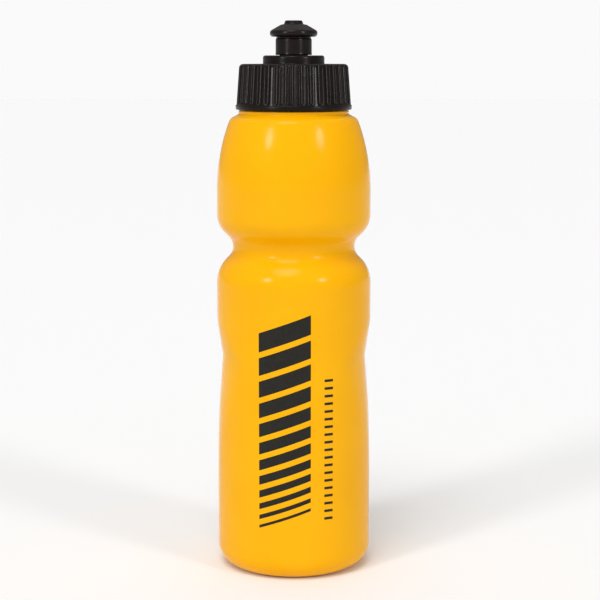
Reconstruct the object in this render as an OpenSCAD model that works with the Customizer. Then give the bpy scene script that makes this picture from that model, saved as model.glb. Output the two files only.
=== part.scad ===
// Sports squeeze bottle: a blow-moulded bottle, a ribbed screw cap with a sealing washer,
// and a push-pull nozzle that slides on the cap's spout. Millimetres, +Z up, and the origin is
// the centre of the foot, on the surface that the bottle stands on.

/* [Barrel] */
// Diameter of the lower, straight part of the bottle
barrel_d = 74.5; // [62:0.5:90]
// Wall of the blown body
body_wall = 1.1; // [0.7:0.1:1.8]
// Radius of the rounded corner at the foot
foot_corner_r = 10; // [6:0.5:14]
// Width of the flat ring that the bottle stands on
foot_ring_w = 4; // [2:0.5:6]
// Height of the pushed-up panel inside the foot ring
push_up_h = 4; // [2:0.5:6]
// Width of the slope from the foot ring up to that panel
push_up_slope_w = 6; // [4:0.5:9]

/* [Finger grips] */
// Depth of the recess on each side of the barrel
grip_depth = 2.65; // [1.5:0.05:3.5]
// Distance from the middle of the waist down to the recess's upper end
grip_top_drop = 35.5; // [30:0.5:42]
// Distance from the middle of the waist down to where the recess is deepest
grip_deep_drop = 53; // [48:0.5:64]
// Distance from the middle of the waist down to the bend in the long lower slope
grip_bend_drop = 77; // [70:0.5:92]
// Distance from the middle of the waist down to the recess's lower end
grip_foot_drop = 100; // [96:0.5:115]
// Depth left at the bend
grip_bend_depth = 0.85; // [0.5:0.05:1.2]
// Angle from the side at which the recess runs out into the barrel
grip_half_angle = 50; // [40:1:60]

/* [Waist] */
// Height of the middle of the waist
waist_z = 157; // [130:0.5:190]
// Diameter of the waist
waist_d = 58.8; // [52:0.2:64]
// Radius of the hollow of the waist
waist_hollow_r = 7; // [4:0.5:9]
// Radius of the rounded edge at the top of the barrel
barrel_edge_r = 16; // [6:0.5:18]
// Radius of the rounded edge at the foot of the bulb
bulb_foot_edge_r = 12; // [6:0.5:14]

/* [Bulb] */
// Diameter of the upper part of the bottle
bulb_d = 74; // [61:0.5:90]
// Height from the middle of the waist to where the bulb starts to close in
bulb_straight_h = 27; // [24:0.5:34]
// Height from there to the shoulder's edge
bulb_curve_h = 34.3; // [25:0.1:45]
// Width of the ledge between the shoulder's edge and the collar
ledge_w = 4.1; // [2:0.1:6]
// Slope of that ledge, from level
ledge_slope = 28; // [15:1:35]
// Radius of the shoulder's edge
shoulder_edge_r = 4; // [2:0.5:5]

/* [Neck] */
// Diameter of the neck under its thread
neck_d = 44.8; // [36:0.2:56]
// How far the collar below the cap stands out from the neck
collar_out = 4; // [3:0.1:5]
// Height of the collar above the ledge
collar_h = 1.7; // [1.2:0.1:4]
// Wall of the neck
neck_wall = 1.4; // [1:0.1:2]
// Height of the neck from the collar to its lip
neck_h = 19.2; // [16:0.1:24]

/* [Thread] */
// Rise of the thread in one turn
thread_pitch = 4.5; // [4:0.1:5.5]
// Turns of thread on the neck, and in the cap
thread_turns = 1.5; // [1:0.25:1.75]
// Height of the thread's ridge
thread_h = 1.2; // [0.8:0.1:1.4]
// Width of the ridge at its foot
thread_foot_w = 2; // [1.6:0.1:2.2]
// Width of the ridge at its crest
thread_crest_w = 1; // [0.6:0.1:1.2]
// Distance from the neck's lip down to the middle of its thread's upper end
thread_below_lip = 3.7; // [3:0.1:5]

/* [Cap] */
// Wall of the skirt under its flutes, at the top
skirt_wall = 1.1; // [0.9:0.1:2]
// Thickness of the cap's top
cap_top_t = 1.6; // [1.2:0.1:2.5]
// Lean of the skirt's side, from upright
skirt_draft = 4.2; // [2:0.2:6]
// Radius of the cap's upper edge
cap_edge_r = 2; // [0.8:0.1:2.4]
// Height of the rim at the skirt's foot
rim_h = 2.3; // [1.5:0.1:3]
// How far the rim stands out from the skirt
rim_out = 0.4; // [0.2:0.1:0.8]
// Number of grip flutes
flute_count = 40; // [30:1:44]
// Radius of each flute's hollow
flute_r = 1.6; // [1.4:0.1:1.9]
// Depth of each flute
flute_depth = 0.85; // [0.4:0.05:1]

/* [Washer] */
// Thickness of the sealing washer
washer_t = 1.2; // [0.8:0.1:2]
// Depth of the ring that holds the washer in the cap
holder_h = 2.8; // [2:0.1:5]
// Wall of that ring
holder_wall = 1; // [0.8:0.1:1.5]

/* [Spout] */
// Diameter of the raised boss on the cap
boss_d = 29.3; // [24:0.1:36]
// Height of that boss
boss_h = 4; // [3:0.1:6]
// Radius of the boss's upper edge
boss_edge_r = 1.1; // [0.5:0.1:1.4]
// Wall of the boss
boss_wall = 1.6; // [1.2:0.1:2]
// Diameter of the spout that the nozzle slides on
spout_d = 13.2; // [11:0.1:16]
// Wall of the spout
spout_wall = 1.4; // [1:0.1:1.8]
// How far the stop bead stands out from the spout
bead_out = 0.4; // [0.3:0.05:0.6]
// Height of the stop bead
bead_h = 1; // [0.8:0.1:1.4]
// Diameter of the pin that plugs the nozzle
pin_d = 4.9; // [4:0.1:6]
// Number of webs that hold the pin in the spout
web_count = 4; // [3:1:5]
// Width of each web
web_w = 1.5; // [1.2:0.1:2]
// Height of each web
web_h = 3; // [2:0.1:4]

/* [Nozzle] */
// Travel of the nozzle from shut to open
nozzle_travel = 6; // [4:0.1:7.5]
// Wall of the nozzle's sleeve
sleeve_wall = 1.5; // [1.2:0.1:2]
// Height of the lip inside the sleeve's foot
sleeve_lip_h = 1.4; // [1:0.1:2]
// Diameter of the flange that the teeth grip
flange_d = 22.6; // [20:0.1:27]
// Thickness of the flange's edge
flange_edge_t = 2.8; // [2:0.1:3.2]
// Height of the flange's cone above its edge
flange_cone_h = 3.2; // [2:0.1:3.5]
// Diameter of the mouthpiece's tip at its foot
tip_d = 9.2; // [8.6:0.1:11]
// Height of the tip
tip_h = 1.7; // [1.2:0.1:3]

/* [Clearances] */
// Gap between the neck and the cap's thread, and the cap and the neck's thread
thread_gap = 0.4; // [0.3:0.05:0.6]
// Gap along the axis between the two threads when the cap is tight
flank_gap = 0.1; // [0.05:0.05:0.2]
// Gap between the collar and the cap's rim
rim_gap = 0.4; // [0.3:0.1:1]
// Gap between the washer and the ring that holds it, and the wall around it
washer_gap = 0.15; // [0.1:0.05:0.3]
// Gap between the holder ring and the neck's bore
holder_gap = 0.4; // [0.3:0.05:0.8]
// Gap around the spout and its bead inside the nozzle
slide_gap = 0.1; // [0.05:0.05:0.15]
// Gap between the nozzle and the boss, and the spout and the nozzle's roof, when shut
seat_gap = 0.2; // [0.1:0.05:0.5]
// Gap around the pin in the nozzle's mouth
pin_gap = 0.05; // [0.03:0.01:0.08]

/* [Hidden] */
$fn = 96;

// How far a chord may lie from its arc
arc_tol = 0.02;
// How far a cutter reaches past what it cuts
past = 1;
// How deep a ridge's foot is sunk into its wall
sunk = 0.3;
// Steps of the thread in one turn, and the part of a turn over which its ends fade out
thread_steps = 60;
thread_fade = 0.08;
// Radii of small edges: moulded edges, edges of the neck, and the flange's edge
edge_r = 0.4;
lip_edge_r = 0.5;
flange_edge_r = 1.5;

barrel_r = barrel_d / 2;
waist_r = waist_d / 2;
bulb_r = bulb_d / 2;
neck_r = neck_d / 2;
collar_r = neck_r + collar_out;
bore_r = neck_r - neck_wall;

// ---- Outlines with rounded corners ----

function unit(v) = v / norm(v);
function left_of(v) = [-v[1], v[0]];
function at(list, i) = list[(i + len(list)) % len(list)];
function turn(a, b, c) =
    let (u = unit(b - a), v = unit(c - b)) atan2(u[0] * v[1] - u[1] * v[0], u * v);

// Length that each corner's arc takes from the sides that meet there
function reach(p, r) =
    [for (i = [0 : len(p) - 1]) r[i] * tan(abs(turn(at(p, i - 1), p[i], at(p, i + 1))) / 2)];

// Radii, each made smaller where its arc and its neighbour's wouldn't both fit on their side
function fitted(p, r) =
    let (t = reach(p, r))
    [for (i = [0 : len(p) - 1])
        let (before = norm(p[i] - at(p, i - 1)), after = norm(at(p, i + 1) - p[i]))
        r[i] * min(1, before / (at(t, i - 1) + t[i] + 1e-6), after / (at(t, i + 1) + t[i] + 1e-6))];

// A corner's arc, or the corner itself where its radius is nothing
function corner(a, b, c, r) =
    r < 0.01 ? [b] :
    let (angle = turn(a, b, c), side = sign(angle),
         n = left_of(unit(b - a)) * side, m = left_of(unit(c - b)) * side,
         centre = b + unit(n + m) * r / cos(angle / 2),
         start = atan2(-n[1], -n[0]),
         steps = max(2, ceil(abs(angle) / (2 * acos(1 - arc_tol / max(r, 2 * arc_tol))))))
    [for (k = [0 : steps])
        centre + r * [cos(start + angle * k / steps), sin(start + angle * k / steps)]];

// A closed outline of corners [x, y, radius], anticlockwise
function rounded(corners) =
    let (p = [for (c = corners) [c[0], c[1]]], r = fitted(p, [for (c = corners) c[2]]))
    [for (i = [0 : len(p) - 1]) each corner(at(p, i - 1), p[i], at(p, i + 1), r[i])];

// An open chain of corners moved inwards by d, with the arcs kept concentric
function moved_in(chain, d) =
    let (p = [for (c = chain) [c[0], c[1]]], r = fitted(p, [for (c = chain) c[2]]), last = len(p) - 1)
    [for (i = [0 : last])
        let (n = left_of(unit(i == 0 ? p[1] - p[0] : p[i] - p[i - 1])),
             m = left_of(unit(i == last ? p[last] - p[last - 1] : p[i + 1] - p[i])),
             bend = i == 0 || i == last ? 0 : sign(turn(p[i - 1], p[i], p[i + 1])),
             q = p[i] + d * (n + m) / (1 + n * m))
        [q[0], q[1], r[i] < 0.01 ? 0 : max(0, r[i] - bend * d)]];

module turned(corners) {
    rotate_extrude() polygon(rounded(corners));
}

// ---- Thread ----

// A helical ridge whose middle starts at height z0. Its foot is sunk into the wall at root_r,
// and it stands out by height, which is negative for a ridge inside a hole.
module ridge(root_r, height, z0) {
    way = sign(height);
    steps = round(thread_steps * thread_turns);
    foot_r = root_r - way * sunk;
    // A ring of four corners; way keeps the faces outward for both kinds of ridge
    rings = [for (k = [0 : steps])
        let (turns = k / thread_steps, angle = 360 * turns, z = z0 + thread_pitch * turns,
             full = min(1, turns / thread_fade, (thread_turns - turns) / thread_fade),
             crest_r = root_r + height * (0.1 + 0.9 * full),
             foot_w = thread_foot_w / 2, crest_w = thread_crest_w / 2)
        each [for (c = [[foot_r, -way * foot_w], [crest_r, -way * crest_w],
                        [crest_r, way * crest_w], [foot_r, way * foot_w]])
            [c[0] * cos(angle), c[0] * sin(angle), z + c[1]]]];
    sides = [for (k = [0 : steps - 1], j = [0 : 3])
        let (a = 4 * k + j, b = 4 * k + (j + 1) % 4)
        each [[a, b, a + 4], [b, b + 4, a + 4]]];
    ends = [[2, 1, 0], [3, 2, 0],
            [4 * steps, 4 * steps + 1, 4 * steps + 2], [4 * steps, 4 * steps + 2, 4 * steps + 3]];
    polyhedron(points = rings, faces = concat(sides, ends));
}

// ---- Bottle ----

// Where the sloping sides of the waist, drawn at 45 degrees, meet the hollow and the two bodies
waist_half = waist_hollow_r * tan(22.5);
barrel_top_z = waist_z - waist_half - (barrel_r - waist_r);
bulb_foot_z = waist_z + waist_half + (bulb_r - waist_r);

// The bulb closes in on one long arc, which leaves the straight part at a tangent and gives way
// to the shoulder's own rounded edge
bulb_arc_z = max(waist_z + bulb_straight_h, bulb_foot_z + bulb_foot_edge_r * tan(22.5));
shoulder = [collar_r + ledge_w, bulb_arc_z + bulb_curve_h];
closing = bulb_r - shoulder[0];
shoulder_reach = shoulder_edge_r * tan((90 - 2 * atan(closing / bulb_curve_h) - ledge_slope) / 2);
bulb_corner_z = shoulder[1] - (bulb_curve_h + shoulder_reach) / 2
    + closing * closing / (bulb_curve_h + shoulder_reach) / 2;
bulb_lean = atan(closing / (shoulder[1] - bulb_corner_z));
bulb_curve_r = (norm([closing, shoulder[1] - bulb_corner_z]) - shoulder_reach) / tan(bulb_lean / 2);
collar_foot_z = shoulder[1] + ledge_w * tan(ledge_slope);
collar_top_z = collar_foot_z + collar_h;
lip_z = collar_top_z + neck_h;

foot_in_r = barrel_r - foot_corner_r - foot_ring_w;

// Outside of the body from the middle of its foot up to the foot of the collar
body_chain = [
    [0, push_up_h, 0],
    [foot_in_r - push_up_slope_w, push_up_h, 3],
    [foot_in_r, 0, 1.5],
    [barrel_r, 0, foot_corner_r],
    [barrel_r, barrel_top_z, barrel_edge_r],
    [waist_r, waist_z - waist_half, waist_hollow_r],
    [waist_r, waist_z + waist_half, waist_hollow_r],
    [bulb_r, bulb_foot_z, bulb_foot_edge_r],
    [bulb_r, bulb_corner_z, bulb_curve_r],
    [shoulder[0], shoulder[1], shoulder_edge_r],
    [collar_r, collar_foot_z, edge_r]];
inner_chain = moved_in(body_chain, body_wall);
inner_shoulder = inner_chain[9];
bore_foot_z = inner_shoulder[1] + (inner_shoulder[0] - bore_r) * tan(ledge_slope);

module body_outside() {
    turned(concat(body_chain, [
        [collar_r, collar_top_z, edge_r],
        [neck_r, collar_top_z, edge_r],
        [neck_r, lip_z, lip_edge_r],
        [0, lip_z, 0]]));
}

module body_inside() {
    turned(concat([for (i = [0 : 9]) inner_chain[i]], [
        [bore_r, bore_foot_z, 1],
        [bore_r, lip_z + past, 0],
        [0, lip_z + past, 0]]));
}

// Each finger grip flattens one side of the barrel: its wall turns about an axis that is moved
// away from that side, so it is a wider arc that meets the barrel at grip_half_angle.
grip_floor_r = barrel_r - grip_depth;
grip_top_z = waist_z - grip_top_drop;
grip_deep_z = waist_z - grip_deep_drop;
grip_bend_z = waist_z - grip_bend_drop;
grip_foot_z = waist_z - grip_foot_drop;
grip_shift = (barrel_r * barrel_r - grip_floor_r * grip_floor_r)
    / (2 * (grip_floor_r - barrel_r * cos(grip_half_angle)));
grip_open_r = 2 * max(barrel_r, bulb_r);
grip_upper = grip_depth / (grip_top_z - grip_deep_z);
grip_lower = grip_bend_depth / (grip_bend_z - grip_foot_z);

// What the grips take off a side, moved in by d for the inside of the wall
module grip_cut(d) {
    wall = moved_in([
        [barrel_r + grip_lower * 4, grip_foot_z - 4, 0],
        [barrel_r - grip_bend_depth, grip_bend_z, 200],
        [grip_floor_r, grip_deep_z, 15],
        [barrel_r + grip_upper * 3, grip_top_z + 3, 0]], d);
    translate([-grip_shift, 0, 0])
        turned([for (c = concat(
            [[grip_open_r, wall[0][1], 0], [grip_open_r, wall[3][1], 0]],
            [wall[3], wall[2], wall[1], wall[0]]))
            [c[0] + grip_shift, c[1], c[2]]]);
}

module gripped(d) {
    difference() {
        children();
        grip_cut(d);
        rotate([0, 0, 180]) grip_cut(d);
    }
}

module bottle() {
    color([0.98, 0.68, 0.06]) {
        difference() {
            gripped(0) body_outside();
            gripped(body_wall) body_inside();
        }
        ridge(neck_r, thread_h, neck_thread_z);
    }
}

neck_thread_z = lip_z - thread_below_lip - thread_pitch * thread_turns;

// ---- Cap ----

thread_root_r = neck_r + thread_h + thread_gap;
cap_z = collar_top_z + rim_gap;
cap_under_z = lip_z + washer_t;
cap_top_z = cap_under_z + cap_top_t;
boss_top_z = cap_top_z + boss_h;
boss_r = boss_d / 2;

// The skirt's side leans out from the cap's top to its rim
skirt_top_r = thread_root_r + skirt_wall + flute_depth;
skirt_foot_r = skirt_top_r + (cap_top_z - cap_z - rim_h) * tan(skirt_draft);
rim_r = skirt_foot_r + rim_out;

// Washer, and the ring in the cap that holds it
holder_r = bore_r - holder_gap;
washer_in_r = holder_r + washer_gap;
washer_out_r = thread_root_r - washer_gap;

// Spout, with its bead at the height where it stops the nozzle's lip
spout_r = spout_d / 2;
channel_r = spout_r - spout_wall;
bead_r = spout_r + bead_out;
nozzle_z = boss_top_z + seat_gap;
bead_z = nozzle_z + sleeve_lip_h + nozzle_travel + slide_gap;
spout_top_z = bead_z + bead_h + bead_out;
pin_r = pin_d / 2;

// Nozzle
mouth_r = pin_r + pin_gap;
sleeve_bore_r = bead_r + slide_gap;
sleeve_lip_r = spout_r + slide_gap;
sleeve_r = sleeve_bore_r + sleeve_wall;
roof_z = spout_top_z + seat_gap;
flange_r = flange_d / 2;
flange_z = roof_z - 0.6;
tip_r = tip_d / 2;
cone_top_z = flange_z + flange_edge_t + flange_cone_h;
tip_z = cone_top_z + tip_h;

// The cap thread lies just under the neck's, where the two slopes would meet
flank_width = (thread_foot_w + thread_crest_w) / 2
    + (thread_foot_w - thread_crest_w) / 2 * thread_gap / thread_h;
cap_thread_z = neck_thread_z - flank_width - flank_gap;

module cap_shell() {
    turned([
        [thread_root_r, cap_z, edge_r],
        [rim_r, cap_z, 0.6],
        [rim_r, cap_z + rim_h, 0.5],
        [skirt_foot_r, cap_z + rim_h, 0],
        [skirt_top_r, cap_top_z, cap_edge_r],
        [boss_r, cap_top_z, edge_r],
        [boss_r, boss_top_z, boss_edge_r],
        [spout_r, boss_top_z, edge_r],
        [spout_r, bead_z, 0],
        [bead_r, bead_z, 0],
        [bead_r, bead_z + bead_h, 0],
        [spout_r, spout_top_z, 0],
        [channel_r, spout_top_z, edge_r],
        [channel_r, boss_top_z - boss_wall, 0.8],
        [boss_r - boss_wall, boss_top_z - boss_wall, edge_r],
        [boss_r - boss_wall, cap_under_z, edge_r],
        [holder_r - holder_wall, cap_under_z, 0],
        [holder_r - holder_wall, cap_under_z - holder_h, edge_r],
        [holder_r, cap_under_z - holder_h, edge_r],
        [holder_r, cap_under_z, 0],
        [thread_root_r, cap_under_z, 0]]);
}

// One flute: a round-ended hollow along the leaning side, open at the top of the skirt
module flute() {
    translate([skirt_foot_r + flute_r - flute_depth, 0, cap_z + rim_h])
        rotate([0, -skirt_draft, 0])
            translate([0, 0, flute_r]) {
                cylinder(r = flute_r, h = cap_top_z - cap_z, $fn = 32);
                sphere(r = flute_r, $fn = 32);
            }
}

// The plug pin stands in the spout's mouth on thin webs, and water passes between them
module plug_pin() {
    web_z = spout_top_z - web_h - edge_r;
    translate([0, 0, web_z]) cylinder(r = pin_r, h = tip_z - web_z - 2 * edge_r);
    translate([0, 0, tip_z - 2 * edge_r]) cylinder(r1 = pin_r, r2 = pin_r - edge_r, h = edge_r);
    for (i = [0 : web_count - 1])
        rotate([0, 0, 360 * i / web_count])
            translate([0, -web_w / 2, web_z])
                cube([channel_r + sunk, web_w, web_h]);
}

module screw_cap() {
    color([0.09, 0.08, 0.08]) {
        difference() {
            cap_shell();
            for (i = [0 : flute_count - 1])
                rotate([0, 0, 360 * i / flute_count]) flute();
        }
        ridge(thread_root_r, -thread_h, cap_thread_z);
        plug_pin();
    }
}

module cap_washer() {
    color([0.85, 0.85, 0.82])
        turned([
            [washer_in_r, lip_z, 0.2],
            [washer_out_r, lip_z, 0.2],
            [washer_out_r, cap_under_z, 0.2],
            [washer_in_r, cap_under_z, 0.2]]);
}

// ---- Nozzle ----

module pull_nozzle() {
    color([0.07, 0.06, 0.06])
        turned([
            [sleeve_lip_r, nozzle_z, edge_r],
            [sleeve_r, nozzle_z, edge_r],
            [sleeve_r, flange_z - 1.2, 0.6],
            [sleeve_r - 0.4, flange_z - 0.6, 0.3],
            [sleeve_r - 0.4, flange_z, 0.3],
            [flange_r, flange_z, flange_edge_r],
            [flange_r, flange_z + flange_edge_t, flange_edge_r],
            [tip_r + 1.6, cone_top_z - 0.3, 2],
            [tip_r, cone_top_z, 0.5],
            [tip_r - 0.6, tip_z, 0.5],
            [mouth_r, tip_z, 0.3],
            [mouth_r, cone_top_z - 1.2, 0.3],
            [sleeve_bore_r, roof_z, 0.8],
            [sleeve_bore_r, nozzle_z + sleeve_lip_h, 0],
            [sleeve_lip_r, nozzle_z + sleeve_lip_h, 0]]);
}

bottle();
screw_cap();
cap_washer();
pull_nozzle();
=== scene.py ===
import math

import bmesh
import bpy
import numpy as np
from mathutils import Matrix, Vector


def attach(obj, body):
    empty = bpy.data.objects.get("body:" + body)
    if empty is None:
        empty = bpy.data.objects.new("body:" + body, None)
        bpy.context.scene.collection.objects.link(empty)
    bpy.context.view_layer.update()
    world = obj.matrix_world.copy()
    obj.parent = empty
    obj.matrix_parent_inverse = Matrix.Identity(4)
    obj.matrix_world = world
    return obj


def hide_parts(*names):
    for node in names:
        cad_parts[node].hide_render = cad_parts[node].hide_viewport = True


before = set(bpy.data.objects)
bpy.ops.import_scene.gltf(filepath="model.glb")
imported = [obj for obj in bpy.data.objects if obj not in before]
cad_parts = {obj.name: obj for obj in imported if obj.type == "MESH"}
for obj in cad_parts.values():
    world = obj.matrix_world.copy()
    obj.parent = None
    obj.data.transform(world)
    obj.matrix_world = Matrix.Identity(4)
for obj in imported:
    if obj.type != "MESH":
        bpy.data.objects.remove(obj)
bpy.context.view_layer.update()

# ---- Studio ----
# A pale floor in a white room, with one soft key light at each side of the camera and a wide
# overhead light.

MM = 0.001  # a millimetre, in metres
view_distance, view_height, view_pitch = 0.780, 0.247, math.radians(8.5)
axis_offset = 0.003  # the bottle stands a little to the left of the middle of the frame

camera_data = bpy.data.cameras.new("camera")
camera_data.lens = 97.19
camera_data.sensor_width = 36
camera = bpy.data.objects.new("camera", camera_data)
camera.location = (0, -view_distance, view_height)
aim = Vector((axis_offset, view_distance, -view_distance * math.tan(view_pitch)))
camera.rotation_euler = aim.to_track_quat("-Z", "Y").to_euler()
bpy.context.collection.objects.link(camera)
bpy.context.scene.camera = camera


def soft_light(name, azimuth, elevation, spread, strength):
    """A large far lamp, in degrees from the camera's side of the bottle and above the floor."""
    data = bpy.data.lights.new(name, "SUN")
    data.energy, data.angle = strength, math.radians(spread)
    lamp = bpy.data.objects.new(name, data)
    turn, lift = math.radians(azimuth), math.radians(elevation)
    towards = Vector((math.sin(turn) * math.cos(lift), -math.cos(turn) * math.cos(lift),
                      math.sin(lift)))
    lamp.rotation_euler = towards.to_track_quat("Z", "Y").to_euler()
    bpy.context.collection.objects.link(lamp)
    return lamp


soft_light("left_key", -43, 28, 11, 0.72)
soft_light("right_key", 47, 28, 11, 0.60)
soft_light("overhead", -17, 60, 30, 1.25)
soft_light("rear_fill", 180, 60, 60, 0.45)
strips = [soft_light("left_strip", -44, 9, 7, 0.80), soft_light("right_strip", 47, 9, 7, 0.72)]

# The room is brighter in front and at the left than behind, and the camera sees it as white
world = bpy.data.worlds.new("white_room")
world.use_nodes = True
nodes, links = world.node_tree.nodes, world.node_tree.links
backdrop = nodes["Background"]
backdrop.inputs["Color"].default_value = (1, 1, 1, 1)
facing = nodes.new("ShaderNodeVectorMath")
facing.operation = "DOT_PRODUCT"
facing.inputs[1].default_value = (-0.30, -0.95, 0.0)
links.new(nodes.new("ShaderNodeTexCoord").outputs["Generated"], facing.inputs[0])
room = nodes.new("ShaderNodeMapRange")
room.inputs["From Min"].default_value, room.inputs["From Max"].default_value = -1.0, 1.0
room.inputs["To Min"].default_value, room.inputs["To Max"].default_value = 0.28, 0.58
links.new(facing.outputs["Value"], room.inputs["Value"])
strength = nodes.new("ShaderNodeMix")
strength.inputs["B"].default_value = 0.955
links.new(nodes.new("ShaderNodeLightPath").outputs["Is Camera Ray"], strength.inputs["Factor"])
links.new(room.outputs[0], strength.inputs["A"])
links.new(strength.outputs[0], backdrop.inputs["Strength"])
bpy.context.scene.world = world
bpy.context.scene.view_settings.view_transform = "Standard"

floor_half = 9
floor_mesh = bpy.data.meshes.new("floor")
floor_mesh.from_pydata([(-floor_half, -floor_half, 0), (floor_half, -floor_half, 0),
                        (floor_half, floor_half, 0), (-floor_half, floor_half, 0)],
                       [], [(0, 1, 2, 3)])
floor = bpy.data.objects.new("floor", floor_mesh)
bpy.context.collection.objects.link(floor)
floor_paper = bpy.data.materials.new("floor_paper")
floor_paper.use_nodes = True
paper_shader = floor_paper.node_tree.nodes["Principled BSDF"]
paper_shader.inputs["Base Color"].default_value = (0.89, 0.89, 0.89, 1)
paper_shader.inputs["Roughness"].default_value = 0.9
floor_mesh.materials.append(floor_paper)

# ---- Bottle ----
# One blow-moulded shell of low-density polyethylene: a barrel with a finger grip pressed into
# each side, a waist, a bulb, a stepped shoulder with a collar, and a threaded neck. It stands
# on a ring around a pushed-up panel, and the mould's parting line runs up both sides.

barrel_r, bulb_r, waist_r, body_wall = 37.25, 37.0, 29.4, 1.1
waist_z, waist_hollow_r, barrel_edge_r, bulb_foot_edge_r = 157.0, 7.0, 16.0, 12.0
foot_corner_r, foot_ring_w, push_up_h, push_up_slope_w = 10.0, 4.0, 4.0, 6.0
neck_r, neck_bore_r, collar_r = 22.4, 21.0, 26.4
shoulder_r, shoulder_z, ledge_slope = 30.5, 218.3, math.radians(28)
bulb_corner_z, bulb_curve_r, shoulder_edge_r = 201.0, 93.6, 4.0
collar_foot_z = shoulder_z + (shoulder_r - collar_r) * math.tan(ledge_slope)
collar_top_z = collar_foot_z + 1.7
lip_z = collar_top_z + 19.2
grip_floor_r, grip_shift, grip_foot_z, grip_top_z = 34.6, 8.934, 53.0, 124.5
grip_profile = [(37.4, grip_foot_z, 0), (36.4, 80.0, 200), (grip_floor_r, 104.0, 12),
                (37.7, grip_top_z, 0)]
grip_foot_slope, grip_top_slope = 0.04, 0.15  # how the profile goes on past its two ends
grip_lowest_z, grip_highest_z = 20, 140
crease_softness = 0.5  # how far a grip's edge is rounded over


def rounded(corners, closed=False, rows=3.0):
    """The outline through corners (r, z, radius), in millimetres, each corner turned into a true
    arc. Straight sides keep a row close to each end, so that their shading stays flat, and are
    divided into rows; a fourth number on a corner sets the rows of the side that leaves it."""
    p = [np.array(c[:2], float) for c in corners]
    n = len(p)
    reach, bend = [0.0] * n, [0.0] * n
    for i in range(n):
        if not closed and i in (0, n - 1):
            continue
        u, v = p[i] - p[i - 1], p[(i + 1) % n] - p[i]
        bend[i] = math.atan2(u[0] * v[1] - u[1] * v[0], float(u @ v))
        reach[i] = corners[i][2] * abs(math.tan(bend[i] / 2))
    radius = []
    for i in range(n):
        before = np.linalg.norm(p[i] - p[i - 1])
        after = np.linalg.norm(p[(i + 1) % n] - p[i])
        share = min(1, before / (reach[i - 1] + reach[i] + 1e-6),
                    after / (reach[i] + reach[(i + 1) % n] + 1e-6))
        radius.append(corners[i][2] * share)
    arcs = []
    for i in range(n):
        if radius[i] < 0.01 or abs(bend[i]) < 1e-4:
            arcs.append([p[i]])
            continue
        u = (p[i] - p[i - 1]) / np.linalg.norm(p[i] - p[i - 1])
        side = math.copysign(1, bend[i])
        start = p[i] - u * radius[i] * abs(math.tan(bend[i] / 2))
        normal = np.array((-u[1], u[0])) * side
        centre = start + normal * radius[i]
        fine = 2 * math.acos(max(0.9, 1 - 0.008 / radius[i]))
        steps = max(3, math.ceil(abs(bend[i]) / min(fine, math.radians(21))))
        arc = []
        for k in range(steps + 1):
            turn = bend[i] * k / steps
            back = -normal * radius[i]
            arc.append(centre + np.array((back[0] * math.cos(turn) - back[1] * math.sin(turn),
                                          back[0] * math.sin(turn) + back[1] * math.cos(turn))))
        arcs.append(arc)
    points = []
    for i in range(n):
        met = i > 0 and np.linalg.norm(arcs[i][0] - points[-1]) < 0.001
        points += arcs[i][1:] if met else arcs[i]
        if not closed and i == n - 1:
            break
        a, b = arcs[i][-1], arcs[(i + 1) % n][0]
        length = np.linalg.norm(b - a)
        spacing = corners[i][3] if len(corners[i]) > 3 else rows
        if length > 1.0:
            inner = length - 0.5
            count = max(1, round(inner / spacing))
            stops = [0.25 + inner * k / count for k in range(count + 1)]
        else:
            stops = [length / 2] if length > 0.5 else []
        points += [a + (b - a) * s / length for s in stops]
    return points


def moved_in(chain, d):
    """An open chain of corners moved inwards by d, for the inside of a wall."""
    p = [np.array(c[:2], float) for c in chain]
    out = []
    for i, c in enumerate(chain):
        u = p[i] - p[i - 1] if i else p[1] - p[0]
        v = p[i + 1] - p[i] if i < len(p) - 1 else u
        u, v = u / np.linalg.norm(u), v / np.linalg.norm(v)
        n, m = np.array((-u[1], u[0])), np.array((-v[1], v[0]))
        bend = math.copysign(1, u[0] * v[1] - u[1] * v[0])
        q = p[i] + d * (n + m) / (1 + n @ m)
        out.append((q[0], q[1], max(0.0, c[2] - bend * d) if c[2] > 0.01 else 0.0))
    return out


def turned(name, outline, steps, closed=False, reshape=None):
    """A mesh turned about the Z axis from an outline in millimetres that runs anticlockwise with
    r to the right and z up. An open outline starts and ends on the axis. reshape(r, z, angle,
    row) may change the radii of a row."""
    angles = np.arange(steps) * 2 * math.pi / steps
    verts, rings = [], []
    for row, (r, z) in enumerate(outline):
        rings.append(len(verts))
        if r < 1e-6:
            verts.append((0, 0, z * MM))
            continue
        radii = np.full(steps, float(r)) if reshape is None else reshape(r, z, angles, row)
        verts += [(a * math.cos(t) * MM, a * math.sin(t) * MM, z * MM)
                  for a, t in zip(radii, angles)]
    faces = []
    count = len(outline)
    for i in range(count if closed else count - 1):
        j = (i + 1) % count
        a, b = rings[i], rings[j]
        at_axis, to_axis = outline[i][0] < 1e-6, outline[j][0] < 1e-6
        for k in range(steps):
            m = (k + 1) % steps
            if at_axis and to_axis:
                continue
            if at_axis:
                faces.append((a, b + m, b + k))
            elif to_axis:
                faces.append((a + k, a + m, b))
            else:
                faces.append((a + k, a + m, b + m, b + k))
    mesh = bpy.data.meshes.new(name)
    mesh.from_pydata(verts, [], faces)
    mesh.shade_smooth()
    mesh.update()
    piece = bpy.data.objects.new(name, mesh)
    bpy.context.collection.objects.link(piece)
    return piece


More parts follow.
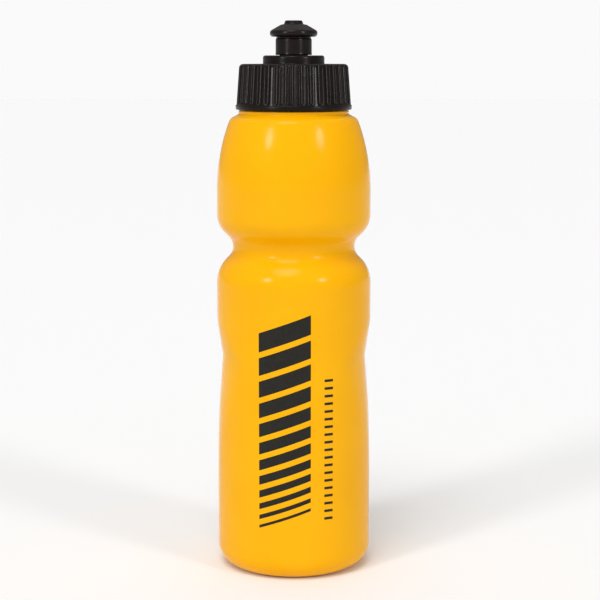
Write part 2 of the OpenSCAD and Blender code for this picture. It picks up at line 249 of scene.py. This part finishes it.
waist_half = waist_hollow_r * math.tan(math.radians(22.5))
foot_in_r = barrel_r - foot_corner_r - foot_ring_w
body_chain = [
    (0, push_up_h, 0),
    (foot_in_r - push_up_slope_w, push_up_h, 3),
    (foot_in_r, 0, 1.5),
    (barrel_r, 0, foot_corner_r),
    (barrel_r, waist_z - waist_half - (barrel_r - waist_r), barrel_edge_r),
    (waist_r, waist_z - waist_half, waist_hollow_r),
    (waist_r, waist_z + waist_half, waist_hollow_r),
    (bulb_r, waist_z + waist_half + (bulb_r - waist_r), bulb_foot_edge_r),
    (bulb_r, bulb_corner_z, bulb_curve_r),
    (shoulder_r, shoulder_z, shoulder_edge_r),
    (collar_r, collar_foot_z, 0.4)]
inner_chain = moved_in(body_chain, body_wall)
inner_shoulder = inner_chain[9]
bore_foot_z = inner_shoulder[1] + (inner_shoulder[0] - neck_bore_r) * math.tan(ledge_slope)
outside = rounded(body_chain + [
    (collar_r, collar_top_z, 0.4), (neck_r, collar_top_z, 0.4), (neck_r, lip_z, 0.5),
    (neck_bore_r, lip_z, 0.3), (neck_bore_r, lip_z - 6, 0)], rows=1.4)
inside = rounded([(neck_bore_r, lip_z - 6, 0), (neck_bore_r, bore_foot_z, 1.0)]
                 + inner_chain[9::-1], rows=4.0)
grip_line = np.array(rounded(grip_profile, rows=2.0))


def pressed_grips(r, z, angles, row):
    """Radii of one row of the wall after both finger grips are pressed in, a lens-shaped flat
    on each side that runs out into the round barrel."""
    radii = np.full(len(angles), float(r))
    if not grip_lowest_z < z < grip_highest_z:
        return radii
    wall = 0.0 if row < len(outside) else body_wall
    slope = grip_foot_slope if z < grip_foot_z else grip_top_slope
    drop = np.interp(z, grip_line[:, 1], grip_line[:, 0])
    drop += slope * max(0.0, grip_foot_z - z, z - grip_top_z)
    for side in (1, -1):
        along = side * np.cos(angles) * grip_shift
        across = np.sin(angles) * grip_shift
        limit = -along + np.sqrt((drop + grip_shift) ** 2 - across ** 2) - wall
        blend = np.clip(crease_softness - np.abs(radii - limit), 0, None) / crease_softness
        radii = np.minimum(radii, limit) - blend ** 2 * crease_softness / 4
    return radii


bottle_shell = turned("bottle_shell", outside + inside[1:], 192, reshape=pressed_grips)


def wire(tree, node_type, values=(), **settings):
    """Adds a node, sets its settings, and gives each input either a link or a value."""
    node = tree.nodes.new(node_type)
    for key, value in settings.items():
        setattr(node, key, value)
    for key, value in dict(values).items():
        if isinstance(value, bpy.types.NodeSocket):
            tree.links.new(value, node.inputs[key])
        else:
            node.inputs[key].default_value = value
    return node


def reckon(tree, operation, *values):
    """One step of arithmetic in a node tree."""
    return wire(tree, "ShaderNodeMath", dict(enumerate(values)), operation=operation).outputs[0]


def new_tree(name, sizes, takes_mesh=False):
    """An empty Geometry Nodes tree with one named input for each size."""
    tree = bpy.data.node_groups.new(name, "GeometryNodeTree")
    if takes_mesh:
        tree.interface.new_socket("Mesh", in_out="INPUT", socket_type="NodeSocketGeometry")
    for size, kind in sizes:
        tree.interface.new_socket(size, in_out="INPUT", socket_type="NodeSocket" + kind)
    tree.interface.new_socket("Mesh", in_out="OUTPUT", socket_type="NodeSocketGeometry")
    return tree, tree.nodes.new("NodeGroupInput")


def close_tree(tree, shape, material):
    """Ends a tree in Realize Instances and Set Material."""
    real = wire(tree, "GeometryNodeRealizeInstances", {"Geometry": shape})
    painted = wire(tree, "GeometryNodeSetMaterial",
                   {"Geometry": real.outputs[0], "Material": material})
    wire(tree, "NodeGroupOutput", {"Mesh": painted.outputs[0]})


def made_by(tree, name, sizes, start=None):
    """Runs a tree with these sizes, on the start object's mesh if one is given, and returns its
    result as a plain mesh object with one material."""
    holder = start
    if start is None:
        holder = bpy.data.objects.new(name, bpy.data.meshes.new(name))
        bpy.context.collection.objects.link(holder)
    modifier = holder.modifiers.new("shape", "NODES")
    modifier.node_group = tree
    for item in tree.interface.items_tree:
        if item.item_type == "SOCKET" and item.in_out == "INPUT" and item.name in sizes:
            modifier[item.identifier] = sizes[item.name]
    shown = bpy.context.evaluated_depsgraph_get()
    mesh = bpy.data.meshes.new_from_object(holder.evaluated_get(shown))
    mesh.name = name
    paint = mesh.materials[len(mesh.materials) - 1]
    mesh.materials.clear()
    mesh.materials.append(paint)
    mesh.polygons.foreach_set("material_index", np.zeros(len(mesh.polygons), dtype=np.int32))
    holder.modifiers.remove(modifier)
    holder.data = mesh
    holder.name = name
    return holder


def thread_tree(material):
    """A ridge swept up a helix. Its profile is a trapezium that stands on the wall, outwards
    where Height is positive, and it fades out over the first and last part of a turn."""
    tree, given = new_tree("moulded thread", [
        ("Wall Radius", "Float"), ("Foot", "Float"), ("Pitch", "Float"), ("Turns", "Float"),
        ("Height", "Float"), ("Foot Width", "Float"), ("Crest Width", "Float"),
        ("Sunk", "Float"), ("Fade", "Float")])
    size = given.outputs
    rise = reckon(tree, "MULTIPLY", size["Pitch"], size["Turns"])
    helix = wire(tree, "GeometryNodeCurveSpiral", {
        "Resolution": 96, "Rotations": size["Turns"], "Start Radius": size["Wall Radius"],
        "End Radius": size["Wall Radius"], "Height": rise})
    place = wire(tree, "ShaderNodeCombineXYZ", {"Z": size["Foot"]})
    quarter = wire(tree, "ShaderNodeCombineXYZ", {"Z": -math.pi / 2})
    placed = wire(tree, "GeometryNodeTransform", {
        "Geometry": helix.outputs[0], "Translation": place.outputs[0],
        "Rotation": quarter.outputs[0]})
    upright = wire(tree, "GeometryNodeSetCurveNormal", {"Curve": placed.outputs[0]}, mode="Z_UP")
    along = wire(tree, "GeometryNodeSplineParameter").outputs["Factor"]
    turned_by = reckon(tree, "MULTIPLY", along, size["Turns"])
    left = reckon(tree, "SUBTRACT", size["Turns"], turned_by)
    nearest = reckon(tree, "MINIMUM", turned_by, left)
    fade = reckon(tree, "MINIMUM", reckon(tree, "DIVIDE", nearest, size["Fade"]), 1.0)
    fade = reckon(tree, "MAXIMUM", fade, 0.12)
    sized = wire(tree, "GeometryNodeSetCurveRadius",
                 {"Curve": upright.outputs[0], "Radius": fade})
    facing = reckon(tree, "MULTIPLY", reckon(tree, "SIGN", size["Height"]), 0.5)
    half_foot = reckon(tree, "MULTIPLY", size["Foot Width"], facing)
    half_crest = reckon(tree, "MULTIPLY", size["Crest Width"], facing)
    crest = reckon(tree, "MULTIPLY", size["Height"], -1.0)
    corners = [(size["Sunk"], half_foot), (crest, half_crest),
               (crest, reckon(tree, "MULTIPLY", half_crest, -1.0)),
               (size["Sunk"], reckon(tree, "MULTIPLY", half_foot, -1.0))]
    trapezium = wire(tree, "GeometryNodeCurvePrimitiveQuadrilateral", mode="POINTS")
    for i, (out, up) in enumerate(corners):
        corner = wire(tree, "ShaderNodeCombineXYZ", {"X": out, "Y": up})
        tree.links.new(corner.outputs[0], trapezium.inputs[f"Point {i + 1}"])
    ridge = wire(tree, "GeometryNodeCurveToMesh", {
        "Curve": sized.outputs[0], "Profile Curve": trapezium.outputs[0], "Fill Caps": True})
    close_tree(tree, ridge.outputs[0], material)
    return tree


def plain_finish(name):
    """A material with its shader, the piece's own coordinates, and the tree to add to."""
    material = bpy.data.materials.new(name)
    material.use_nodes = True
    tree = material.node_tree
    shader = tree.nodes["Principled BSDF"]
    where = wire(tree, "ShaderNodeTexCoord").outputs["Object"]
    return material, tree, shader, where


def grain(tree, where, size_mm, detail=2.0, roughness=0.5):
    """Noise whose features are about size_mm across."""
    return wire(tree, "ShaderNodeTexNoise", {
        "Vector": where, "Scale": 1000 / size_mm, "Detail": detail,
        "Roughness": roughness}).outputs[0]


def scaled(tree, value, low, high):
    """Noise from 0.3 to 0.7 mapped to low to high."""
    return wire(tree, "ShaderNodeMapRange", {
        "Value": value, "From Min": 0.3, "From Max": 0.7, "To Min": low,
        "To Max": high}).outputs[0]


def bumped(tree, height, depth_mm, strength=1.0, normal=None):
    """A normal raised by height, over another one where it is given."""
    values = {"Height": height, "Distance": depth_mm * MM, "Strength": strength}
    if normal is not None:
        values["Normal"] = normal
    return wire(tree, "ShaderNodeBump", values).outputs[0]


# Yellow polyethylene is waxy and slightly milky, with the faint waviness of a blown wall, a
# finer moulded grain, and a raised parting line.
yellow_wall, tree, shader, where = plain_finish("yellow_polyethylene")
tint = wire(tree, "ShaderNodeMix", {
    0: scaled(tree, grain(tree, where, 30), 0, 1),
    6: (0.900, 0.412, 0.001, 1), 7: (0.922, 0.436, 0.002, 1)}, data_type="RGBA")
tree.links.new(tint.outputs[2], shader.inputs["Base Color"])
tree.links.new(scaled(tree, grain(tree, where, 6, 4), 0.14, 0.19), shader.inputs["Roughness"])
shader.inputs["Subsurface Weight"].default_value = 0.12
shader.inputs["Subsurface Radius"].default_value = (1.0, 0.4, 0.08)
shader.inputs["Subsurface Scale"].default_value = 0.003
shader.inputs["IOR"].default_value = 1.5
shader.inputs["Specular IOR Level"].default_value = 0.10
split = wire(tree, "ShaderNodeSeparateXYZ", {"Vector": where})
off_seam = reckon(tree, "ABSOLUTE", split.outputs["Y"])
seam_half_w = 0.22
seam = reckon(tree, "SUBTRACT", 1.0, reckon(tree, "DIVIDE", off_seam, seam_half_w * MM))
seam = reckon(tree, "MAXIMUM", seam, 0.0)
waviness = bumped(tree, grain(tree, where, 22, 1), 0.12, 0.5)
fine_grain = bumped(tree, grain(tree, where, 0.5, 3), 0.01, 0.4, waviness)
tree.links.new(bumped(tree, seam, 0.06, 1.0, fine_grain), shader.inputs["Normal"])

bottle_shell.data.materials.append(yellow_wall)
thread_pitch, thread_turns, thread_h, thread_sunk, thread_fade = 4.5, 1.5, 1.2, 0.3, 0.08
thread_foot_w, thread_crest_w, thread_drop = 2.0, 1.0, 3.7
neck_thread_foot = lip_z - thread_drop - thread_pitch * thread_turns
ridge_sizes = {
    "Pitch": thread_pitch * MM, "Turns": thread_turns, "Foot Width": thread_foot_w * MM,
    "Crest Width": thread_crest_w * MM, "Fade": thread_fade}
neck_thread = made_by(thread_tree(yellow_wall), "neck_thread", {
    **ridge_sizes, "Wall Radius": neck_r * MM, "Foot": neck_thread_foot * MM,
    "Height": thread_h * MM, "Sunk": thread_sunk * MM})
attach(bottle_shell, "bottle")
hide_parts("bottle")
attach(neck_thread, "bottle")

# ---- Print ----
# One pass of black screen ink on the front of the barrel: a stack of slanted bars that grow
# towards the top, and a column of short ticks beside it. It is plain decoration.

black_ink, tree, shader, where = plain_finish("screen_ink")
ink_tone = wire(tree, "ShaderNodeMix", {
    0: scaled(tree, grain(tree, where, 1.5, 3), 0, 1),
    6: (0.0045, 0.0038, 0.0015, 1), 7: (0.0100, 0.0085, 0.0035, 1)}, data_type="RGBA")
tree.links.new(ink_tone.outputs[2], shader.inputs["Base Color"])
tree.links.new(scaled(tree, grain(tree, where, 2), 0.26, 0.36), shader.inputs["Roughness"])
shader.inputs["Specular IOR Level"].default_value = 0.3
tree.links.new(bumped(tree, grain(tree, where, 0.35, 3), 0.01, 0.5), shader.inputs["Normal"])


def printed_bars_tree(material):
    """A stack of bars wrapped round the front of a cylinder. Each bar is Growth taller than the
    one below, the gap between them is constant, and Slant raises their right-hand ends."""
    tree, given = new_tree("printed bars", [
        ("Count", "Int"), ("Bar Width", "Float"), ("First Height", "Float"),
        ("Growth", "Float"), ("Gap", "Float"), ("Slant", "Float"), ("Centre", "Float"),
        ("Foot", "Float"), ("Barrel Radius", "Float"), ("Ink Thickness", "Float")])
    size = given.outputs
    points = wire(tree, "GeometryNodeMeshLine", {"Count": size["Count"]})
    index = wire(tree, "GeometryNodeInputIndex").outputs[0]
    height = reckon(tree, "ADD", size["First Height"],
                    reckon(tree, "MULTIPLY", size["Growth"], index))
    pairs = reckon(tree, "MULTIPLY", index, reckon(tree, "SUBTRACT", index, 1.0))
    grown = reckon(tree, "MULTIPLY", reckon(tree, "MULTIPLY", pairs, 0.5), size["Growth"])
    even = reckon(tree, "MULTIPLY", index,
                  reckon(tree, "ADD", size["First Height"], size["Gap"]))
    middle = reckon(tree, "ADD", reckon(tree, "ADD", grown, even),
                    reckon(tree, "MULTIPLY", height, 0.5))
    rest = wire(tree, "ShaderNodeCombineXYZ", {
        "X": size["Centre"], "Z": reckon(tree, "ADD", size["Foot"], middle)})
    stacked = wire(tree, "GeometryNodeSetPosition",
                   {"Geometry": points.outputs[0], "Position": rest.outputs[0]})
    extent = wire(tree, "ShaderNodeCombineXYZ", {
        "X": size["Bar Width"], "Y": size["Ink Thickness"], "Z": 1.0})
    bar = wire(tree, "GeometryNodeMeshCube", {
        "Size": extent.outputs[0], "Vertices X": 33, "Vertices Y": 2, "Vertices Z": 2})
    grow = wire(tree, "ShaderNodeCombineXYZ", {"X": 1.0, "Y": 1.0, "Z": height})
    bars = wire(tree, "GeometryNodeInstanceOnPoints", {
        "Points": stacked.outputs[0], "Instance": bar.outputs[0], "Scale": grow.outputs[0]})
    flat = wire(tree, "GeometryNodeRealizeInstances", {"Geometry": bars.outputs[0]})
    spot = wire(tree, "ShaderNodeSeparateXYZ", {
        "Vector": wire(tree, "GeometryNodeInputPosition").outputs[0]}).outputs
    angle = reckon(tree, "DIVIDE", spot["X"], size["Barrel Radius"])
    out = reckon(tree, "SUBTRACT", size["Barrel Radius"], spot["Y"])
    out = reckon(tree, "ADD", out, reckon(tree, "MULTIPLY", size["Ink Thickness"], 0.3))
    wrapped = wire(tree, "ShaderNodeCombineXYZ", {
        "X": reckon(tree, "MULTIPLY", out, reckon(tree, "SINE", angle)),
        "Y": reckon(tree, "MULTIPLY", reckon(tree, "MULTIPLY", out,
                                             reckon(tree, "COSINE", angle)), -1.0),
        "Z": reckon(tree, "ADD", spot["Z"],
                    reckon(tree, "MULTIPLY", spot["X"], size["Slant"]))})
    print_shape = wire(tree, "GeometryNodeSetPosition",
                       {"Geometry": flat.outputs[0], "Position": wrapped.outputs[0]})
    close_tree(tree, print_shape.outputs[0], material)
    return tree


bars_tree = printed_bars_tree(black_ink)
ink_sizes = {"Barrel Radius": barrel_r * MM, "Ink Thickness": 0.08 * MM}
bar_print = made_by(bars_tree, "bar_print", {
    **ink_sizes, "Count": 12, "Bar Width": 25 * MM, "First Height": 1.4 * MM,
    "Growth": 0.7 * MM, "Gap": 2.8 * MM, "Slant": 0.36, "Centre": -4.5 * MM, "Foot": 32 * MM})
tick_print = made_by(bars_tree, "tick_print", {
    **ink_sizes, "Count": 19, "Bar Width": 4.4 * MM, "First Height": 1.2 * MM,
    "Growth": 0.0, "Gap": 2.5 * MM, "Slant": 0.0, "Centre": 17.0 * MM, "Foot": 30 * MM})
for piece in (bar_print, tick_print):
    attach(piece, "bottle")

# ---- Sealing washer ----
# A flat ring stamped from closed-cell foam, pressed between the bottle's lip and the cap. It
# rises with the cap and stays in it.

washer_in_r, washer_out_r, washer_t = 20.75, 23.85, 1.2

foam, tree, shader, where = plain_finish("closed_cell_foam")
foam_tone = wire(tree, "ShaderNodeMix", {
    0: scaled(tree, grain(tree, where, 0.6, 3), 0, 1),
    6: (0.60, 0.59, 0.54, 1), 7: (0.78, 0.77, 0.72, 1)}, data_type="RGBA")
tree.links.new(foam_tone.outputs[2], shader.inputs["Base Color"])
shader.inputs["Roughness"].default_value = 0.85
cells_per_metre = 3500.0
cells = wire(tree, "ShaderNodeTexVoronoi",
             {"Vector": where, "Scale": cells_per_metre}).outputs["Distance"]
tree.links.new(bumped(tree, cells, 0.04, 0.6), shader.inputs["Normal"])

washer = turned("sealing_washer", rounded([
    (washer_in_r, lip_z, 0.25), (washer_out_r, lip_z, 0.25),
    (washer_out_r, lip_z + washer_t, 0.25), (washer_in_r, lip_z + washer_t, 0.25)],
    closed=True), 160, closed=True)
washer.data.materials.append(foam)
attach(washer, "cap_washer")
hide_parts("cap_washer")

# ---- Screw cap ----
# One moulding of black polypropylene: a skirt with round-ended grip flutes over a plain rim, a
# raised boss, and the spout, whose stop bead keeps the nozzle on. A plug pin stands in the
# spout on four webs, and the thread and the ring that holds the washer are inside.

cap_z, cap_under_z = collar_top_z + 0.4, lip_z + washer_t
cap_top_z, boss_top_z = cap_under_z + 1.6, cap_under_z + 5.6
thread_root_r = neck_r + 1.6
rim_h, rim_r, skirt_foot_r, skirt_top_r = 2.3, 27.77, 27.37, 25.95
boss_r, boss_wall = 14.65, 1.6
spout_r, channel_r, bead_r, bead_z, bead_h = 6.6, 5.2, 7.0, boss_top_z + 7.7, 1.0
spout_top_z = bead_z + bead_h + bead_r - spout_r
holder_out_r, holder_in_r, holder_h = 20.6, 19.6, 2.8
pin_r, web_w, web_h = 2.45, 1.5, 3.0
pin_top_z = 264.18
flute_count, flute_steps = 40, 16
flute_r, flute_depth, flute_foot_h = 1.6, 0.85, 2.4
side_lean = (skirt_foot_r - skirt_top_r) / (cap_top_z - cap_z - rim_h)
cap_thread_drop = 1.767  # its ridge starts this far below the neck's, so the flanks clear


def matt_above(tree, shader, gloss):
    """Sets the roughness: this gloss on the sides, and a spark-eroded finish on flat tops."""
    normal = wire(tree, "ShaderNodeTexCoord").outputs["Normal"]
    up = wire(tree, "ShaderNodeSeparateXYZ", {"Vector": normal}).outputs["Z"]
    flat = wire(tree, "ShaderNodeMapRange", {"Value": up, "From Min": 0.75, "From Max": 0.97})
    finish = wire(tree, "ShaderNodeMix", {0: flat.outputs[0], 2: gloss, 3: 0.62})
    tree.links.new(finish.outputs[0], shader.inputs["Roughness"])


black_cap, tree, shader, where = plain_finish("black_polypropylene")
cap_tone = wire(tree, "ShaderNodeMix", {
    0: scaled(tree, grain(tree, where, 5, 3), 0, 1),
    6: (0.0040, 0.0024, 0.0017, 1), 7: (0.0074, 0.0046, 0.0035, 1)}, data_type="RGBA")
tree.links.new(cap_tone.outputs[2], shader.inputs["Base Color"])
matt_above(tree, shader, scaled(tree, grain(tree, where, 3, 4), 0.21, 0.27))
shader.inputs["IOR"].default_value = 1.49
shader.inputs["Specular IOR Level"].default_value = 0.13
tree.links.new(bumped(tree, grain(tree, where, 0.4, 3), 0.012, 0.5,
                      bumped(tree, grain(tree, where, 7, 1), 0.05, 0.4)),
               shader.inputs["Normal"])

cap_outline = rounded([
    (thread_root_r, cap_z, 0.4), (rim_r, cap_z, 0.6), (rim_r, cap_z + rim_h, 0.5),
    (skirt_foot_r, cap_z + rim_h, 0, 0.3),
    (skirt_foot_r - flute_foot_h * side_lean, cap_z + rim_h + flute_foot_h, 0, 3.0),
    (skirt_top_r, cap_top_z, 2.0), (boss_r, cap_top_z, 0.4), (boss_r, boss_top_z, 1.1),
    (spout_r, boss_top_z, 0.4), (spout_r, bead_z, 0), (bead_r, bead_z, 0.15),
    (bead_r, bead_z + bead_h, 0.2), (spout_r, spout_top_z, 0.2),
    (channel_r, spout_top_z, 0.4), (channel_r, boss_top_z - boss_wall, 0.8),
    (boss_r - boss_wall, boss_top_z - boss_wall, 0.4), (boss_r - boss_wall, cap_under_z, 0.4),
    (holder_in_r, cap_under_z, 0), (holder_in_r, cap_under_z - holder_h, 0.4),
    (holder_out_r, cap_under_z - holder_h, 0.4), (holder_out_r, cap_under_z, 0),
    (thread_root_r, cap_under_z, 0)], closed=True, rows=8.0)
cap_shell = turned("cap_shell", cap_outline, flute_count * flute_steps, closed=True)


def flutes_tree(material):
    """Cuts upright flutes into a turned skirt that leans inwards. Each is part of a cylinder
    that follows the side, closed at its foot by part of a ball and open at the top."""
    tree, given = new_tree("grip flutes", [
        ("Count", "Int"), ("Hollow Radius", "Float"), ("Depth", "Float"),
        ("Side Radius", "Float"), ("Foot", "Float"), ("Lean", "Float"), ("Softness", "Float")],
        takes_mesh=True)
    size = given.outputs
    spot = wire(tree, "ShaderNodeSeparateXYZ", {
        "Vector": wire(tree, "GeometryNodeInputPosition").outputs[0]}).outputs
    squares = reckon(tree, "ADD", reckon(tree, "MULTIPLY", spot["X"], spot["X"]),
                     reckon(tree, "MULTIPLY", spot["Y"], spot["Y"]))
    radius = reckon(tree, "SQRT", squares)
    pitch = reckon(tree, "DIVIDE", 2 * math.pi, size["Count"])
    around = reckon(tree, "DIVIDE", reckon(tree, "ARCTAN2", spot["Y"], spot["X"]), pitch)
    phase = reckon(tree, "SUBTRACT", reckon(tree, "FRACT", reckon(tree, "ADD", around, 0.5)), 0.5)
    rise = reckon(tree, "SUBTRACT", spot["Z"], size["Foot"])
    side = reckon(tree, "SUBTRACT", size["Side Radius"],
                  reckon(tree, "MULTIPLY", rise, size["Lean"]))
    across = reckon(tree, "MULTIPLY", reckon(tree, "MULTIPLY", phase, pitch), side)
    below = reckon(tree, "MAXIMUM", 0.0, reckon(tree, "SUBTRACT", size["Hollow Radius"], rise))
    hollow = reckon(tree, "SUBTRACT",
                    reckon(tree, "MULTIPLY", size["Hollow Radius"], size["Hollow Radius"]),
                    reckon(tree, "ADD", reckon(tree, "MULTIPLY", across, across),
                           reckon(tree, "MULTIPLY", below, below)))
    reach = reckon(tree, "SQRT", reckon(tree, "MAXIMUM", hollow, 0.0))
    depth = reckon(tree, "SUBTRACT", reach,
                   reckon(tree, "SUBTRACT", size["Hollow Radius"], size["Depth"]))
    depth = reckon(tree, "MAXIMUM", depth, 0.0)
    limit = reckon(tree, "SUBTRACT", side, depth)
    cut = reckon(tree, "SMOOTH_MIN", radius, limit, size["Softness"])
    pulled = reckon(tree, "DIVIDE", cut, radius)
    moved = wire(tree, "ShaderNodeCombineXYZ", {
        "X": reckon(tree, "MULTIPLY", spot["X"], pulled),
        "Y": reckon(tree, "MULTIPLY", spot["Y"], pulled), "Z": spot["Z"]})
    above = reckon(tree, "GREATER_THAN", rise, 0.02 * MM)
    outer = reckon(tree, "GREATER_THAN", radius,
                   reckon(tree, "SUBTRACT", side, reckon(tree, "ADD", size["Depth"], 0.9 * MM)))
    chosen = reckon(tree, "MULTIPLY", above, outer)
    cut_mesh = wire(tree, "GeometryNodeSetPosition", {
        "Geometry": size["Mesh"], "Selection": chosen, "Position": moved.outputs[0]})
    close_tree(tree, cut_mesh.outputs[0], material)
    return tree


cap_shell = made_by(flutes_tree(black_cap), "cap_shell", {
    "Count": flute_count, "Hollow Radius": flute_r * MM, "Depth": flute_depth * MM,
    "Side Radius": skirt_foot_r * MM, "Foot": (cap_z + rim_h) * MM,
    "Lean": side_lean, "Softness": 0.12 * MM}, start=cap_shell)
cap_thread = made_by(thread_tree(black_cap), "cap_thread", {
    **ridge_sizes, "Wall Radius": thread_root_r * MM,
    "Foot": (neck_thread_foot - cap_thread_drop) * MM, "Height": -thread_h * MM,
    "Sunk": -thread_sunk * MM})
web_z = spout_top_z - web_h - 0.4
plug_pin = turned("plug_pin", rounded([
    (0, web_z, 0), (pin_r, web_z, 0.3), (pin_r, pin_top_z, 0.4), (0, pin_top_z, 0)],
    rows=1.5), 64)
plug_pin.data.materials.append(black_cap)


def web(angle):
    """One thin web from the pin out to the spout's wall, with eased edges and both its ends
    sunk into what it joins."""
    shape = bmesh.new()
    bmesh.ops.create_cube(shape, size=1)
    near, far = pin_r - 0.4, channel_r + 0.3
    for v in shape.verts:
        v.co = Vector(((near + (v.co.x + 0.5) * (far - near)) * MM, v.co.y * web_w * MM,
                       (web_z + (v.co.z + 0.5) * web_h) * MM))
    bmesh.ops.bevel(shape, geom=shape.edges[:], offset=0.2 * MM, segments=3, affect="EDGES")
    turn = np.array([[math.cos(angle), -math.sin(angle)], [math.sin(angle), math.cos(angle)]])
    for v in shape.verts:
        v.co.x, v.co.y = turn @ (v.co.x, v.co.y)
    return shape


webs_mesh = bpy.data.meshes.new("pin_webs")
all_webs = bmesh.new()
web_count = 4
for i in range(web_count):
    one_mesh = bpy.data.meshes.new("web")
    one_web = web(2 * math.pi * i / web_count)
    one_web.to_mesh(one_mesh)
    one_web.free()
    all_webs.from_mesh(one_mesh)
    bpy.data.meshes.remove(one_mesh)
all_webs.to_mesh(webs_mesh)
all_webs.free()
pin_webs = bpy.data.objects.new("pin_webs", webs_mesh)
bpy.context.collection.objects.link(pin_webs)
webs_mesh.materials.append(black_cap)

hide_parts("screw_cap")
for piece in (cap_shell, cap_thread, plug_pin, pin_webs):
    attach(piece, "screw_cap")

# ---- Pull nozzle ----
# A black polyethylene sleeve that slides on the spout. Its flange is shaped for the teeth,
# its mouth seats on the plug pin when it is pushed down, and a lip inside its foot catches
# the spout's bead when it is pulled up.

nozzle_z = boss_top_z + 0.2
sleeve_r, sleeve_bore_r, sleeve_lip_r, sleeve_lip_h, groove_depth = 8.6, 7.1, 6.7, 1.4, 0.4
roof_z = spout_top_z + 0.2
flange_z, flange_r, flange_edge_t = roof_z - 0.6, 11.3, 2.8
cone_top_z, tip_r, mouth_r = flange_z + 6.0, 4.6, 2.5
tip_z = cone_top_z + 1.7

black_nozzle, tree, shader, where = plain_finish("black_polyethylene")
nozzle_tone = wire(tree, "ShaderNodeMix", {
    0: scaled(tree, grain(tree, where, 3, 3), 0, 1),
    6: (0.0062, 0.0038, 0.0032, 1), 7: (0.0108, 0.0068, 0.0060, 1)}, data_type="RGBA")
tree.links.new(nozzle_tone.outputs[2], shader.inputs["Base Color"])
matt_above(tree, shader, scaled(tree, grain(tree, where, 2, 4), 0.21, 0.27))
shader.inputs["IOR"].default_value = 1.51
shader.inputs["Specular IOR Level"].default_value = 0.13
tree.links.new(bumped(tree, grain(tree, where, 4, 2), 0.06, 0.5), shader.inputs["Normal"])

nozzle = turned("nozzle", rounded([
    (sleeve_lip_r, nozzle_z, 0.4), (sleeve_r + 0.15, nozzle_z, 0.4),
    (sleeve_r, nozzle_z + 1.0, 0.5), (sleeve_r, flange_z - 1.2, 0.6),
    (sleeve_r - groove_depth, flange_z - 0.6, 0.3), (sleeve_r - groove_depth, flange_z, 0.3),
    (flange_r, flange_z, 1.5), (flange_r, flange_z + flange_edge_t, 1.5),
    (tip_r + 1.6, cone_top_z - 0.3, 2), (tip_r, cone_top_z, 0.5), (tip_r - 0.6, tip_z, 0.5),
    (mouth_r, tip_z, 0.3), (mouth_r, cone_top_z - 1.2, 0.3), (sleeve_bore_r, roof_z, 0.8),
    (sleeve_bore_r, nozzle_z + sleeve_lip_h, 0.1), (sleeve_lip_r, nozzle_z + sleeve_lip_h, 0.2)],
    closed=True, rows=2.0), 128, closed=True)
nozzle.data.materials.append(black_nozzle)
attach(nozzle, "pull_nozzle")
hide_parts("pull_nozzle")

# The two low strips are flagged off everything but the cap and the nozzle
lit_by_strips = bpy.data.collections.new("lit_by_strips")
for piece in (cap_shell, nozzle):
    lit_by_strips.objects.link(piece)
for lamp in strips:
    lamp.light_linking.receiver_collection = lit_by_strips
